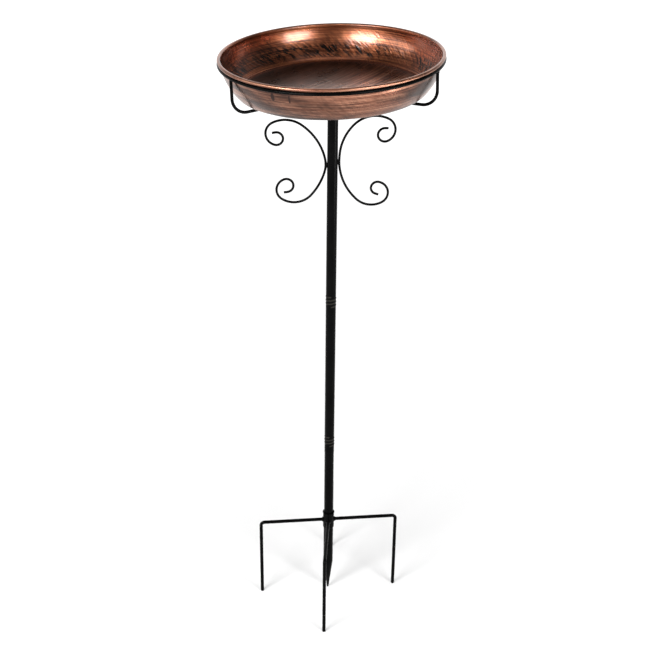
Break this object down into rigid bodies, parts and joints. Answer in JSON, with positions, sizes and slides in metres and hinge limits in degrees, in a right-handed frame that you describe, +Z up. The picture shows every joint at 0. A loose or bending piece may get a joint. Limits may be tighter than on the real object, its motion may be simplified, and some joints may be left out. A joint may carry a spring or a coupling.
{
  "type": "bird feeder on pole",
  "caption": "Shallow copper-finish dish in a black wire cradle on a take-apart tube pole with scrolls, a pointed stake and bent prongs.",
  "frame": {"origin": "on the ground, on the pole's axis", "axes": "+Z up along the pole, -Y towards the front prong, +X to the right"},
  "size_m": [0.3563, 0.3566, 1.0629],
  "materials": {
    "antique_copper": "antique copper, brushed and lightly hammered",
    "black_powder_coat": "satin black powder coat"
  },
  "bodies": {
    "base": {"ground_stake": "black_powder_coat", "base_collar": "black_powder_coat", "prong_left": "black_powder_coat", "prong_right": "black_powder_coat", "prong_front": "black_powder_coat", "prong_back": "black_powder_coat", "base_welds": "black_powder_coat"},
    "lower_length": {"pole_lower": "black_powder_coat"},
    "middle_length": {"pole_middle": "black_powder_coat"},
    "upper_length": {"pole_upper": "black_powder_coat", "scroll_left": "black_powder_coat", "scroll_right": "black_powder_coat", "scroll_welds": "black_powder_coat"},
    "cradle": {"cradle_hub": "black_powder_coat", "cradle_ring": "black_powder_coat", "cradle_arm_left": "black_powder_coat", "cradle_arm_right": "black_powder_coat", "cradle_arm_back": "black_powder_coat", "hub_welds": "black_powder_coat"},
    "dish": {"dish": "antique_copper"}
  },
  "joints": [
    {"name": "pole_pull", "type": "slide", "parent": "base", "child": "lower_length", "axis": [0, 0, 1], "range_m": [0, 0.065]},
    {"name": "middle_unscrew", "type": "slide", "parent": "lower_length", "child": "middle_length", "axis": [0, 0, 1], "range_m": [0, 0.05]},
    {"name": "upper_unscrew", "type": "slide", "parent": "middle_length", "child": "upper_length", "axis": [0, 0, 1], "range_m": [0, 0.05]},
    {"name": "cradle_lift", "type": "slide", "parent": "upper_length", "child": "cradle", "axis": [0, 0, 1], "range_m": [0, 0.034]},
    {"name": "dish_lift", "type": "slide", "parent": "cradle", "child": "dish", "axis": [-0.0338, 0, 0.9994], "range_m": [0, 0.09]}
  ]
}
